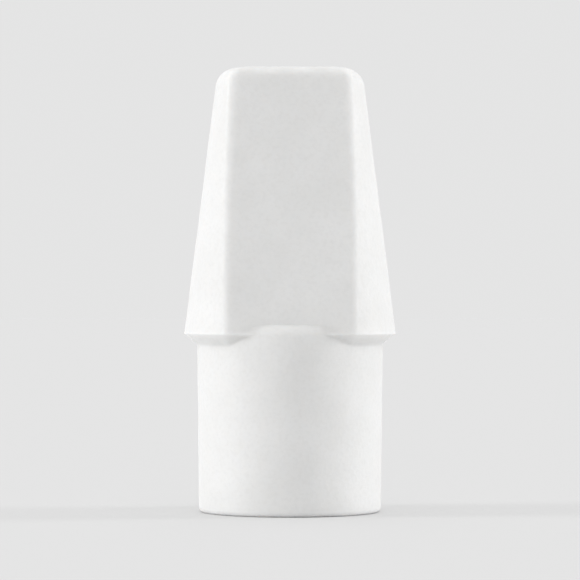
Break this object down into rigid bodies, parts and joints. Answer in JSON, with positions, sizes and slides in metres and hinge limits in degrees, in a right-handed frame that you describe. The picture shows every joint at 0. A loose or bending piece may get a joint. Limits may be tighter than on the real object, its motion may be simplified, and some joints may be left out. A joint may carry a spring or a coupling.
{
  "type": "pencil eraser topper",
  "caption": "Soft white push-on eraser cap for a pencil: a round sleeve with a blind socket, a flared shoulder and a wedge-shaped head with opposite flats and a blunt chisel tip.",
  "frame": {"origin": "centre of the sleeve's mouth, in the plane of its rim, on which the topper stands", "axes": "+Z along the axis from the mouth to the chisel tip, X along the wide way of the tip, the flats face -Y and +Y"},
  "size_m": [0.0106, 0.0094, 0.0224],
  "materials": {
    "eraser": "matte"
  },
  "bodies": {
    "root": {"eraser_cap": "eraser"}
  },
  "joints": []
}
